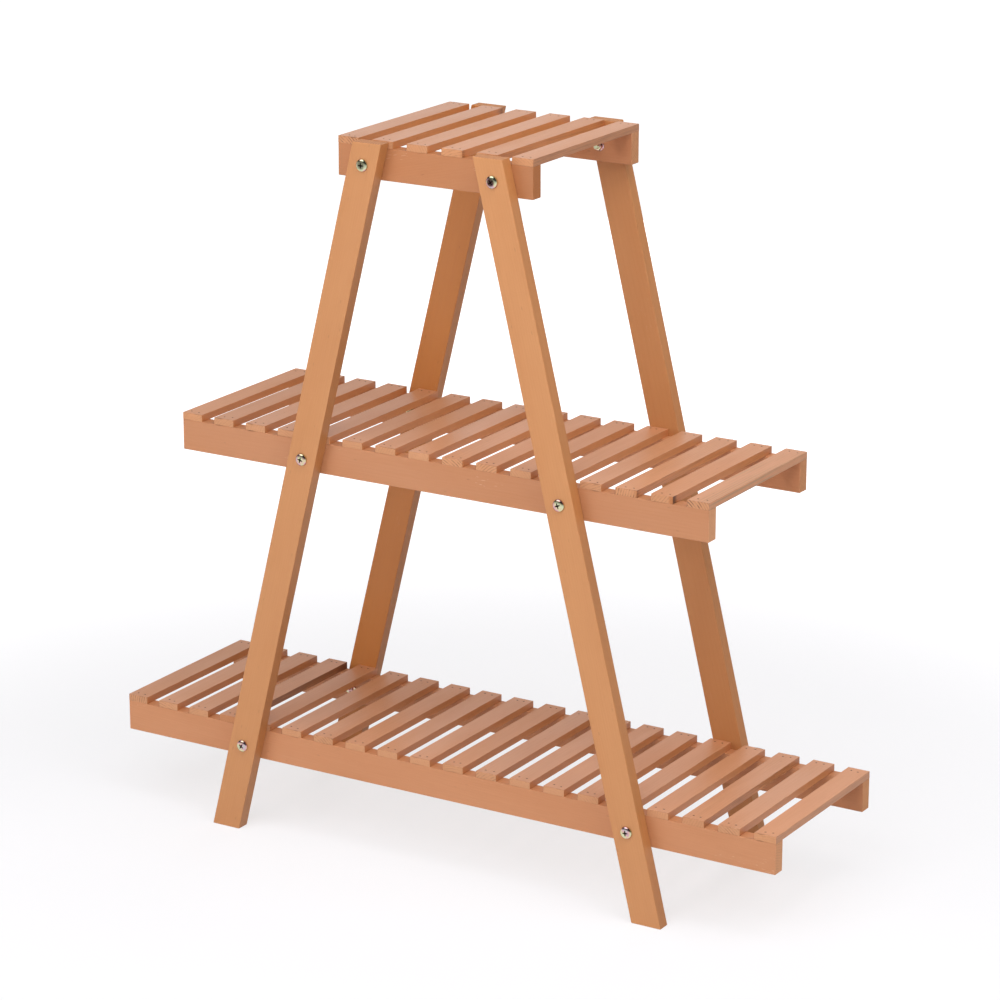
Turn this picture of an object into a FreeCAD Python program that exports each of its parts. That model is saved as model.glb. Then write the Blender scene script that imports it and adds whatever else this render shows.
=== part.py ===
import FreeCAD, Part
import os

import Sketcher

# Three-tier plant stand: slatted shelves, each on a front and a rear rail, bolted between leaning legs.
# Millimetres. The origin is on the floor under the middle of the stand: +X along the shelves,
# +Y to the back, +Z up.

# Sizes that are set by themselves: alias, value, what it measures.
driving_sizes = [
    ("shelf_depth", 256, "over the outer faces of a front and a rear rail, and a slat's length"),
    ("top_length", 276, "length of the top shelf"),
    ("middle_length", 762, "length of the middle shelf"),
    ("bottom_length", 960, "length of the bottom shelf"),
    ("top_height", 933, "floor to the slats' upper face, top shelf"),
    ("middle_height", 548, "floor to the slats' upper face, middle shelf"),
    ("bottom_height", 146.5, "floor to the slats' upper face, bottom shelf"),
    ("slat_width", 29.5, "width of a slat"),
    ("slat_thick", 9, "thickness of a slat"),
    ("slat_gap", 19.5, "about the gap between two slats, evened out over a shelf's length"),
    ("rail_height", 40, "height of a rail, on edge"),
    ("rail_thick", 18, "thickness of a rail"),
    ("leg_width", 40, "width of a leg, square to its length"),
    ("leg_thick", 18, "thickness of a leg"),
    ("crown_drop", 1, "top shelf's upper face down to the level cut at a leg's upper end"),
    ("foot_spread", 628, "between the centre lines of a pair of legs, at the floor"),
    ("crown_spread", 170, "between the centre lines of a pair of legs, at their upper end"),
    ("arris", 0.8, "bevel along the long edges of legs and rails"),
    ("bolt_diameter", 6, "shank of a bolt"),
    ("bolt_play", 0.25, "clearance round a bolt in the wood, on the radius"),
    ("bolt_end", 3, "bolt standing out past its nut"),
    ("head_diameter", 16, "domed head of a bolt"),
    ("head_rise", 3.9, "height of the head at its middle"),
    ("recess_span", 7, "cross recess, tip to tip"),
    ("recess_slot", 1.6, "cross recess, width of a slot"),
    ("recess_depth", 2.8, "cross recess, depth from the top of the dome"),
    ("recess_taper", 14, "cross recess, lean of its walls in degrees"),
    ("nut_across", 10, "across the flats of a nut"),
    ("nut_height", 6, "height of a nut with its flange"),
    ("flange_diameter", 14.2, "round flange of a nut"),
    ("flange_thick", 1.4, "thickness of the flange"),
    ("thread_play", 0.05, "clearance between bolt and nut, on the radius"),
]

# Sizes that follow from them: alias, formula, what it measures.
worked_out_sizes = [
    ("leg_height", "=top_height - crown_drop", "floor to a leg's upper end"),
    ("lean", "=(foot_spread - crown_spread) / 2 / leg_height", "sideways run of a leg for its rise"),
    ("leg_level_width", "=leg_width * sqrt(1 + lean ^ 2)", "width of a leg along a level cut"),
    ("rail_line", "=(shelf_depth - rail_thick) / 2", "middle of the stand to a rail's centre line"),
    ("leg_line", "=(shelf_depth + leg_thick) / 2", "middle of the stand to a leg's centre line"),
    ("head_line", "=shelf_depth / 2 + leg_thick", "middle of the stand to the seat of a bolt's head"),
    ("nut_line", "=shelf_depth / 2 - rail_thick", "middle of the stand to the seat of a nut"),
    ("bolt_hole", "=bolt_diameter + 2 * bolt_play", "hole for a bolt in a leg or a rail"),
    ("bolt_length", "=head_line - nut_line + nut_height + bolt_end", "bolt under its head"),
    ("nut_bore", "=bolt_diameter + 2 * thread_play", "bore of a nut"),
    ("nut_corners", "=nut_across * 2 / sqrt(3)", "across the corners of a nut"),
]

# The same again for each shelf, with SHELF for its name.
sizes_of_a_shelf = [
    ("SHELF_slats", "=round((SHELF_length - slat_width) / (slat_width + slat_gap)) + 1", "number of slats"),
    ("SHELF_pitch", "=(SHELF_length - slat_width) / (SHELF_slats - 1)", "from one slat to the next"),
    ("SHELF_seat", "=SHELF_height - slat_thick", "floor to the upper edge of the rails"),
    ("SHELF_bolt_rise", "=SHELF_seat - rail_height / 2", "floor to the bolts"),
    ("SHELF_bolt_run", "=lean * SHELF_bolt_rise", "run of a leg's centre line from the floor to a bolt"),
    ("SHELF_bolt_reach", "=foot_spread / 2 - SHELF_bolt_run", "middle of the stand to a bolt"),
]

shelves = ["top", "middle", "bottom"]
sides = {"left": -1, "right": 1}
faces = {"front": -1, "rear": 1}
bolt_turn = 37  # degrees by which the drive of each bolt stands past that of the one before

upright = FreeCAD.Vector(0, 0, 1)
doc = FreeCAD.newDocument("plant_stand")
sheet = doc.addObject("Spreadsheet::Sheet", "Sizes")
nodes = []


def fill_sheet():
    """A row for each size, with its name, its value under that alias, and what it measures."""
    rows = driving_sizes + worked_out_sizes
    for shelf in shelves:
        for size in sizes_of_a_shelf:
            rows.append(tuple(text.replace("SHELF", shelf) for text in size))
    for row, (alias, value, meaning) in enumerate(rows, start=1):
        sheet.set(f"A{row}", alias)
        sheet.set(f"B{row}", str(value))
        sheet.setAlias(f"B{row}", alias)
        sheet.set(f"C{row}", meaning)
    doc.recompute()


def origin_item(body, role):
    """An axis or plane of the body's own origin, found by its role."""
    return next(item for item in body.Origin.OriginFeatures if item.Role == role)


def new_sketch(body, name, plane):
    sketch = body.newObject("Sketcher::SketchObject", f"{body.Name}_{name}")
    sketch.AttachmentSupport = [(origin_item(body, plane), "")]
    sketch.MapMode = "FlatFace"
    return sketch


def tie(sketch, *constraints):
    for constraint in constraints:
        sketch.addConstraint(Sketcher.Constraint(*constraint))


def measure(sketch, name, expression, *constraint):
    """Adds a dimension to the sketch and binds it to the sheet."""
    index = sketch.addConstraint(Sketcher.Constraint(*constraint))
    sketch.renameConstraint(index, name)
    sketch.setExpression(f"Constraints.{name}", expression)


def lines(sketch, points, closed=True):
    """Straight lines from point to point, joined end to end. Returns the number of the first line."""
    first = sketch.GeometryCount
    corners = [FreeCAD.Vector(across, up, 0) for across, up in points]
    if closed:
        corners.append(corners[0])
    for start, end in zip(corners, corners[1:]):
        sketch.addGeometry(Part.LineSegment(start, end), False)
    last = sketch.GeometryCount - 1
    for index in range(first, last):
        tie(sketch, ("Coincident", index, 2, index + 1, 1))
    if closed:
        tie(sketch, ("Coincident", last, 2, first, 1))
    return first


def rectangle(sketch, width, height, left, bottom):
    """A level rectangle: its size, and its lower left corner, as expressions of the sheet's values."""
    base = lines(sketch, [(0, 0), (1, 0), (1, 1), (0, 1)])
    tie(sketch, ("Horizontal", base), ("Vertical", base + 1))
    tie(sketch, ("Horizontal", base + 2), ("Vertical", base + 3))
    measure(sketch, "width", width, "DistanceX", base, 1, base, 2, 1)
    measure(sketch, "height", height, "DistanceY", base + 1, 1, base + 1, 2, 1)
    measure(sketch, "left", left, "DistanceX", -1, 1, base, 1, 1)
    measure(sketch, "bottom", bottom, "DistanceY", -1, 1, base, 1, 1)


def circle(sketch, name, diameter, across="0", up="0"):
    """A circle: its diameter, and its centre, as expressions of the sheet's values."""
    index = sketch.addGeometry(Part.Circle(FreeCAD.Vector(), upright, 1), False)
    measure(sketch, f"{name}_diameter", diameter, "Diameter", index, 1)
    measure(sketch, f"{name}_across", across, "DistanceX", -1, 1, index, 3, 1)
    measure(sketch, f"{name}_up", up, "DistanceY", -1, 1, index, 3, 1)


def pad(body, name, sketch, length, side_type="One side"):
    feature = body.newObject("PartDesign::Pad", f"{body.Name}_{name}")
    feature.Profile = sketch
    feature.SideType = side_type
    feature.setExpression("Length", length)
    return feature


def bevel_long_edges(body, board):
    """A small bevel along the four longest edges of a board."""
    doc.recompute()
    edges = board.Shape.Edges
    long_enough = 0.9 * max(edge.Length for edge in edges)
    names = [f"Edge{number}" for number, edge in enumerate(edges, start=1) if edge.Length > long_enough]
    chamfer = body.newObject("PartDesign::Chamfer", f"{body.Name}_arris")
    chamfer.Base = (board, names)
    chamfer.setExpression("Size", "Sizes.arris")


def drill(body, holes):
    """Cuts the sketched holes right through a board, to both sides of the sketch."""
    cut = body.newObject("PartDesign::Pocket", f"{body.Name}_drilled")
    cut.Profile = holes
    cut.SideType = "Symmetric"
    cut.Type = "ThroughAll"


def place(item, across, along, up, rotation=FreeCAD.Rotation()):
    item.Placement = FreeCAD.Placement(FreeCAD.Vector(), rotation)
    item.setExpression("Placement.Base.x", across)
    item.setExpression("Placement.Base.y", along)
    item.setExpression("Placement.Base.z", up)


def make_leg(label, side, face):
    """A leaning board, level at both ends, with a hole for each rail. A right leg is a left one turned."""
    leg = doc.addObject("PartDesign::Body", label)
    outline = new_sketch(leg, "outline", "XZ_Plane")
    foot = lines(outline, [(-20, 0), (20, 0), (250, 900), (210, 900)])
    inner, crown, outer = foot + 1, foot + 2, foot + 3
    tie(outline, ("Horizontal", foot), ("Horizontal", crown), ("Parallel", inner, outer))
    measure(outline, "level_width", "Sizes.leg_level_width", "DistanceX", foot, 1, foot, 2, 1)
    measure(outline, "foot_left", "-Sizes.leg_level_width / 2", "DistanceX", -1, 1, foot, 1, 1)
    measure(outline, "foot_up", "0", "DistanceY", -1, 1, foot, 1, 1)
    measure(outline, "rise", "Sizes.leg_height", "DistanceY", inner, 1, inner, 2, 1)
    measure(outline, "run", "Sizes.lean * Sizes.leg_height", "DistanceX", inner, 1, inner, 2, 1)
    board = pad(leg, "board", outline, "Sizes.leg_thick", "Symmetric")
    bevel_long_edges(leg, board)
    holes = new_sketch(leg, "holes", "XZ_Plane")
    for shelf in shelves:
        circle(holes, shelf, "Sizes.bolt_hole", f"Sizes.{shelf}_bolt_run", f"Sizes.{shelf}_bolt_rise")
    drill(leg, holes)
    turned = FreeCAD.Rotation(upright, 0 if side < 0 else 180)
    place(leg, f"{side} * Sizes.foot_spread / 2", f"{face} * Sizes.leg_line", "0", turned)
    nodes.append(leg)


def make_rail(label, shelf, face):
    """A board on edge with a hole for each of its two legs. Its own origin is on its upper edge."""
    rail = doc.addObject("PartDesign::Body", label)
    outline = new_sketch(rail, "outline", "XZ_Plane")
    length = f"Sizes.{shelf}_length"
    rectangle(outline, length, "Sizes.rail_height", f"-{length} / 2", "-Sizes.rail_height")
    board = pad(rail, "board", outline, "Sizes.rail_thick", "Symmetric")
    bevel_long_edges(rail, board)
    holes = new_sketch(rail, "holes", "XZ_Plane")
    for name, side in sides.items():
        circle(holes, name, "Sizes.bolt_hole", f"{side} * Sizes.{shelf}_bolt_reach", "-Sizes.rail_height / 2")
    drill(rail, holes)
    place(rail, "0", f"{face} * Sizes.rail_line", f"Sizes.{shelf}_seat")
    nodes.append(rail)


def make_slat(label, shelf, index):
    """A thin board over both rails, from outer face to outer face."""
    slat = doc.addObject("PartDesign::Body", label)
    outline = new_sketch(slat, "outline", "XY_Plane")
    width = "Sizes.slat_width"
    length = "Sizes.shelf_depth"
    rectangle(outline, width, length, f"-{width} / 2", f"-{length} / 2")
    pad(slat, "board", outline, "Sizes.slat_thick")
    first = f"(Sizes.slat_width - Sizes.{shelf}_length) / 2"
    place(slat, f"{first} + {index} * Sizes.{shelf}_pitch", "0", f"Sizes.{shelf}_seat")
    nodes.append(slat)


def bolt_outline(sketch):
    """Half of a bolt, head up: its end, the shank, the flat seat, the dome, and the axis that closes it."""
    end, shank, seat = 0, 1, 2
    lines(sketch, [(0, -45), (3, -45), (3, 0), (8, 0)], closed=False)
    low, middle, high = FreeCAD.Vector(8, 0, 0), FreeCAD.Vector(4, 3, 0), FreeCAD.Vector(0, 4, 0)
    dome = sketch.addGeometry(Part.Arc(low, middle, high), False)
    axis = sketch.addGeometry(Part.LineSegment(high, FreeCAD.Vector(0, -45, 0)), False)
    tie(sketch, ("Coincident", seat, 2, dome, 1), ("Coincident", dome, 2, axis, 1))
    tie(sketch, ("Coincident", axis, 2, end, 1), ("PointOnObject", dome, 3, -2))
    tie(sketch, ("PointOnObject", end, 1, -2), ("PointOnObject", axis, 1, -2))
    tie(sketch, ("Horizontal", end), ("Vertical", shank), ("Horizontal", seat))
    tie(sketch, ("PointOnObject", seat, 1, -1))
    measure(sketch, "length", "Sizes.bolt_length", "DistanceY", end, 1, -1, 1, 45)
    measure(sketch, "shank_radius", "Sizes.bolt_diameter / 2", "DistanceX", -1, 1, seat, 1, 3)
    measure(sketch, "head_radius", "Sizes.head_diameter / 2", "DistanceX", -1, 1, seat, 2, 8)
    measure(sketch, "head_rise", "Sizes.head_rise", "DistanceY", -1, 1, dome, 2, 4)


def make_bolt():
    """A bolt turned about its axis, with a cross recess of two tapered slots in its domed head."""
    bolt = doc.addObject("PartDesign::Body", "bolt")
    half = new_sketch(bolt, "half", "XZ_Plane")
    bolt_outline(half)
    turned = bolt.newObject("PartDesign::Revolution", "bolt_turned")
    turned.Profile = half
    turned.ReferenceAxis = (origin_item(bolt, "Z_Axis"), [""])
    turned.Angle = 360
    slot = new_sketch(bolt, "slot", "XY_Plane")
    slot.setExpression("AttachmentOffset.Base.z", "Sizes.head_rise")
    span = "Sizes.recess_span"
    width = "Sizes.recess_slot"
    rectangle(slot, span, width, f"-{span} / 2", f"-{width} / 2")
    cut = bolt.newObject("PartDesign::Pocket", "bolt_slot_cut")
    cut.Profile = slot
    cut.setExpression("Length", "Sizes.recess_depth")
    cut.setExpression("TaperAngle", "-Sizes.recess_taper")
    cross = bolt.newObject("PartDesign::PolarPattern", "bolt_cross")
    cross.Originals = [cut]
    cross.Axis = (origin_item(bolt, "Z_Axis"), [""])
    cross.Angle = 90
    cross.Occurrences = 2
    bolt.Tip = cross
    return bolt


def make_nut():
    """A hexagon nut on a round flange, seat down."""
    nut = doc.addObject("PartDesign::Body", "nut")
    flange = new_sketch(nut, "flange", "XY_Plane")
    circle(flange, "outside", "Sizes.flange_diameter")
    circle(flange, "bore", "Sizes.nut_bore")
    pad(nut, "flange_plate", flange, "Sizes.flange_thick")
    hexagon = new_sketch(nut, "hexagon", "XY_Plane")
    # Each corner's place, in halves of the width across flats and quarters of the width across corners.
    corners = [(1, 1), (0, 2), (-1, 1), (-1, -1), (0, -2), (1, -1)]
    first = lines(hexagon, [(5 * across, 3 * up) for across, up in corners])
    for number, (across, up) in enumerate(corners):
        corner = (-1, 1, first + number, 1, 1)
        measure(hexagon, f"across_{number}", f"{across} * Sizes.nut_across / 2", "DistanceX", *corner)
        measure(hexagon, f"up_{number}", f"{up} * Sizes.nut_corners / 4", "DistanceY", *corner)
    circle(hexagon, "bore", "Sizes.nut_bore")
    pad(nut, "hexagon_block", hexagon, "Sizes.nut_height")
    return nut


def fastener_group(label, pattern, depth, outwards):
    """The pattern at all twelve crossings of leg and rail, with its own +Z out of the stand or into it."""
    copies = []
    for face in faces.values():
        for shelf in shelves:
            for side in sides.values():
                tilt = FreeCAD.Rotation(FreeCAD.Vector(1, 0, 0), -90 * face * outwards)
                turn = FreeCAD.Rotation(upright, bolt_turn * len(copies))
                copy = doc.addObject("App::Link", f"{label}_{len(copies) + 1}")
                copy.LinkedObject = pattern
                across = f"{side} * Sizes.{shelf}_bolt_reach"
                place(copy, across, f"{face} * {depth}", f"Sizes.{shelf}_bolt_rise", tilt * turn)
                copies.append(copy)
    group = doc.addObject("Part::Compound", label)
    group.Links = copies
    nodes.append(group)


def check_and_write():
    """Stops at any object that failed, then writes one file for each node."""
    doc.recompute()
    for item in doc.Objects:
        if "Invalid" in item.State or "Error" in item.State:
            raise RuntimeError(f"{item.Label} failed: {item.State}")
    for node in nodes:
        if node.Shape.isNull() or not node.Shape.isValid():
            raise RuntimeError(f"{node.Label} has no valid shape")
    os.makedirs("parts", exist_ok=True)
    for node in nodes:
        node.Shape.exportStep(f"parts/{node.Label}.step")
    print(f"{len(nodes)} nodes, {sum(len(node.Shape.Solids) for node in nodes)} solids")


fill_sheet()
for face_name, face in faces.items():
    for side_name, side in sides.items():
        make_leg(f"leg_{face_name}_{side_name}", side, face)
    for shelf in shelves:
        make_rail(f"{shelf}_rail_{face_name}", shelf, face)
for shelf in shelves:
    for index in range(round(sheet.get(f"{shelf}_slats"))):
        make_slat(f"{shelf}_slat_{index + 1}", shelf, index)
fastener_group("bolts", make_bolt(), "Sizes.head_line", outwards=1)
fastener_group("flange_nuts", make_nut(), "Sizes.nut_line", outwards=-1)
check_and_write()
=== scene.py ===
import math

import bpy
import numpy as np
from mathutils import Matrix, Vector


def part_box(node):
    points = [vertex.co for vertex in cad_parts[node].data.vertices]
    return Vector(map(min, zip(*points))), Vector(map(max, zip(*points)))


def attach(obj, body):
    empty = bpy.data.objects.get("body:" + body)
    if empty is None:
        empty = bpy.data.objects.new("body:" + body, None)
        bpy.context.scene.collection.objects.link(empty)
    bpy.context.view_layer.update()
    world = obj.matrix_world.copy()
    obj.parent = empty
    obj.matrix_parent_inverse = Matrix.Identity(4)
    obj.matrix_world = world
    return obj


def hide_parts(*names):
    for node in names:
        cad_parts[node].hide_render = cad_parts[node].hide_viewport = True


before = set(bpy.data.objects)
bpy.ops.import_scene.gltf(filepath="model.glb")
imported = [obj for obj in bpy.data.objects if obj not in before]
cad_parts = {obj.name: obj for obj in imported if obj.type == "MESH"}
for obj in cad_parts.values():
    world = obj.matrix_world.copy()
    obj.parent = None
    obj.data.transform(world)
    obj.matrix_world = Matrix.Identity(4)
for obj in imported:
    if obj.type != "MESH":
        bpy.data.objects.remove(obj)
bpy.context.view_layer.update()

# Three-tier plant stand: stained boards, brads, plated bolts and nuts. Metres, +Z up, front towards -Y.
shelfNames = ("top", "middle", "bottom")
faceSigns = {"front": -1, "rear": 1}
sideSigns = {"left": -1, "right": 1}
slatNames = {}
for shelf in shelfNames:
    names = [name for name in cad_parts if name.startswith(f"{shelf}_slat_")]
    slatNames[shelf] = sorted(names, key=lambda name: int(name.split("_")[-1]))
print("frame:", len(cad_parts), "nodes,", sum(map(len, slatNames.values())), "slats")


def addNode(tree, kind, **settings):
    node = tree.nodes.new(kind)
    for name, value in settings.items():
        setattr(node, name, value)
    return node


def feed(tree, socket, value):  # links another node's output, or sets a plain value
    if isinstance(value, bpy.types.NodeSocket):
        tree.links.new(value, socket)
    else:
        socket.default_value = value


def calc(tree, operation, *values):
    node = addNode(tree, "ShaderNodeMath", operation=operation)
    for socket, value in zip(node.inputs, values):
        feed(tree, socket, value)
    return node.outputs[0]


def smoothStep(tree, value, low, high, start=0.0, end=1.0):
    node = addNode(tree, "ShaderNodeMapRange", interpolation_type="SMOOTHSTEP")
    settings = {"Value": value, "From Min": low, "From Max": high, "To Min": start, "To Max": end}
    for name, setting in settings.items():
        feed(tree, node.inputs[name], setting)
    return node.outputs["Result"]


def mixColour(tree, amount, first, second, blend="MIX"):
    node = addNode(tree, "ShaderNodeMix", data_type="RGBA", blend_type=blend)
    feed(tree, node.inputs["Factor"], amount)
    feed(tree, node.inputs[6], first)
    feed(tree, node.inputs[7], second)
    return node.outputs[2]


def stretched(tree, vector, scales):  # a vector with each part multiplied by its own number
    node = addNode(tree, "ShaderNodeVectorMath", operation="MULTIPLY")
    feed(tree, node.inputs[0], vector)
    feed(tree, node.inputs[1], scales)
    return node.outputs[0]


def parts(tree, vector):
    node = addNode(tree, "ShaderNodeSeparateXYZ")
    feed(tree, node.inputs[0], vector)
    return node.outputs


def noiseOf(tree, vector, detail=2.0, roughness=0.5):
    node = addNode(tree, "ShaderNodeTexNoise")
    feed(tree, node.inputs["Vector"], vector)
    node.inputs["Scale"].default_value = 1.0
    node.inputs["Detail"].default_value = detail
    node.inputs["Roughness"].default_value = roughness
    return node.outputs["Fac"]


def newGroup(name, inputs, outputs):  # inputs and outputs: name, then "Float", "Vector" or "Color"
    tree = bpy.data.node_groups.new(name, "ShaderNodeTree")
    for label, kind in inputs.items():
        tree.interface.new_socket(name=label, in_out="INPUT", socket_type=f"NodeSocket{kind}")
    for label, kind in outputs.items():
        tree.interface.new_socket(name=label, in_out="OUTPUT", socket_type=f"NodeSocket{kind}")
    return tree, addNode(tree, "NodeGroupInput").outputs, addNode(tree, "NodeGroupOutput").inputs


def placeGroup(tree, group, **values):
    node = addNode(tree, "ShaderNodeGroup", node_tree=group)
    for name, value in values.items():
        feed(tree, node.inputs[name], value)
    return node.outputs


grainLook = {  # turns of a noise in a metre across, along and through the board, then steps it shows over
    "wander": (32, 4, 32), "fibres": (650, 14, 650), "fine": (2300, 90, 2300), "patches": (22, 5, 22),
    "cells": (150, 48, 150), "lateWood": (0.35, 0.88), "ringEnd": (0.9, 1.0), "speckSize": (0.06, 0.16),
    "speckChoice": (0.7, 0.85),
}
arrisLook = {  # the same for worn arrises, and insets in metres under which a point is on a face
    "ragged": (420, 130, 420), "raggedStep": (0.25, 0.75), "reach": (0.25, 1.7), "bandStep": (0.35, 1.0),
    "choice": (60, 30, 60), "darkStep": (0.47, 0.6), "paleStep": (0.36, 0.46), "onFace": (0.00015, 0.00045),
}


def makeGrainGroup():
    # Growth rings: saw-toothed shells round a pith line along the board, warped by noise. Fibres: noise
    # drawn out along the board. Patches: broad noise. Specks: small cells, a few of them dark.
    look = grainLook
    tree, given, made = newGroup(
        "grain",
        {"Grain": "Vector", "ringSpacing": "Float", "ringWarp": "Float"},
        {"Rings": "Float", "Fibres": "Float", "Fine": "Float", "Patches": "Float", "Specks": "Float"},
    )
    grain = given["Grain"]
    spot = parts(tree, grain)
    squares = calc(tree, "ADD", calc(tree, "POWER", spot["X"], 2), calc(tree, "POWER", spot["Z"], 2))
    radius = calc(tree, "SQRT", squares)
    wander = noiseOf(tree, stretched(tree, grain, look["wander"]), 2)
    warped = calc(tree, "MULTIPLY_ADD", wander, given["ringWarp"], radius)
    saw = calc(tree, "FRACT", calc(tree, "DIVIDE", warped, given["ringSpacing"]))
    rising = smoothStep(tree, saw, *look["lateWood"])
    falling = smoothStep(tree, saw, *look["ringEnd"], 1.0, 0.0)
    feed(tree, made["Rings"], calc(tree, "MULTIPLY", rising, falling))
    feed(tree, made["Fibres"], noiseOf(tree, stretched(tree, grain, look["fibres"]), 3, 0.6))
    feed(tree, made["Fine"], noiseOf(tree, stretched(tree, grain, look["fine"]), 2, 0.6))
    feed(tree, made["Patches"], noiseOf(tree, stretched(tree, grain, look["patches"]), 3, 0.55))
    cells = addNode(tree, "ShaderNodeTexVoronoi")
    feed(tree, cells.inputs["Vector"], stretched(tree, grain, look["cells"]))
    cells.inputs["Scale"].default_value = 1.0
    near = smoothStep(tree, cells.outputs["Distance"], *look["speckSize"], 1.0, 0.0)
    chosen = smoothStep(tree, parts(tree, cells.outputs["Color"])[0], *look["speckChoice"])
    feed(tree, made["Specks"], calc(tree, "MULTIPLY", near, chosen))
    return tree


def makeArrisGroup():
    # Distance to the nearest arris is the second smallest of the three insets. Near it the stain is rubbed
    # dark in places and pale in others, where noise along the board says so.
    look = arrisLook
    tree, given, made = newGroup(
        "arrisWear",
        {"Grain": "Vector", "Inset": "Vector", "bandWidth": "Float"},
        {"Band": "Float", "Dark": "Float", "Pale": "Float", "endFace": "Float", "sawnFace": "Float"},
    )
    across, along, through = parts(tree, given["Inset"])
    total = calc(tree, "ADD", calc(tree, "ADD", across, along), through)
    largest = calc(tree, "MAXIMUM", calc(tree, "MAXIMUM", across, along), through)
    smallest = calc(tree, "MINIMUM", calc(tree, "MINIMUM", across, along), through)
    second = calc(tree, "SUBTRACT", calc(tree, "SUBTRACT", total, largest), smallest)
    ragged = noiseOf(tree, stretched(tree, given["Grain"], look["ragged"]), 3, 0.65)
    reach = smoothStep(tree, ragged, *look["raggedStep"], *look["reach"])
    reach = calc(tree, "MULTIPLY", given["bandWidth"], reach)
    away = smoothStep(tree, calc(tree, "DIVIDE", second, reach), *look["bandStep"])
    band = calc(tree, "SUBTRACT", 1.0, away)
    choice = noiseOf(tree, stretched(tree, given["Grain"], look["choice"]), 2)
    feed(tree, made["Band"], band)
    dark = smoothStep(tree, choice, *look["darkStep"])
    feed(tree, made["Dark"], calc(tree, "MULTIPLY", band, dark))
    pale = smoothStep(tree, choice, *look["paleStep"], 1.0, 0.0)
    feed(tree, made["Pale"], calc(tree, "MULTIPLY", band, pale))
    feed(tree, made["endFace"], smoothStep(tree, along, *look["onFace"], 1.0, 0.0))
    feed(tree, made["sawnFace"], smoothStep(tree, across, *look["onFace"], 1.0, 0.0))
    return tree


grainGroup = makeGrainGroup()
arrisGroup = makeArrisGroup()


markLook = {  # colours of single marks and of the painted shade in brad pits, turns of their noise in a metre, and steps that they show over
    "streakColour": (0.37, 0.235, 0.135, 1), "scuffColour": (0.80, 0.58, 0.40, 1),
    "paleColour": (0.80, 0.52, 0.33, 1), "pitShadeColour": (0.06, 0.03, 0.018, 1),
    "scuffs": (900, 110, 900), "scuffPlaces": (30, 9, 30), "soaking": (140, 1, 140),
    "grime": (400, 18, 900),
    "patchStep": (0.35, 0.7), "streakStep": (0.42, 0.6), "fibreStep": (0.6, 1.0), "scuffStep": (0.66, 0.74),
    "scuffPlaceStep": (0.6, 0.68), "soakStep": (0.38, 0.58), "endFibreStep": (0.0, 0.3),
    "endGrimeStep": (0.15, 1.0), "grimeStep": (0.52, 0.76), "roughStep": (0.3, 0.75),
    "warmRed": 0.5, "warmBlue": -0.85, "streakPower": 5,
}


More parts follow.
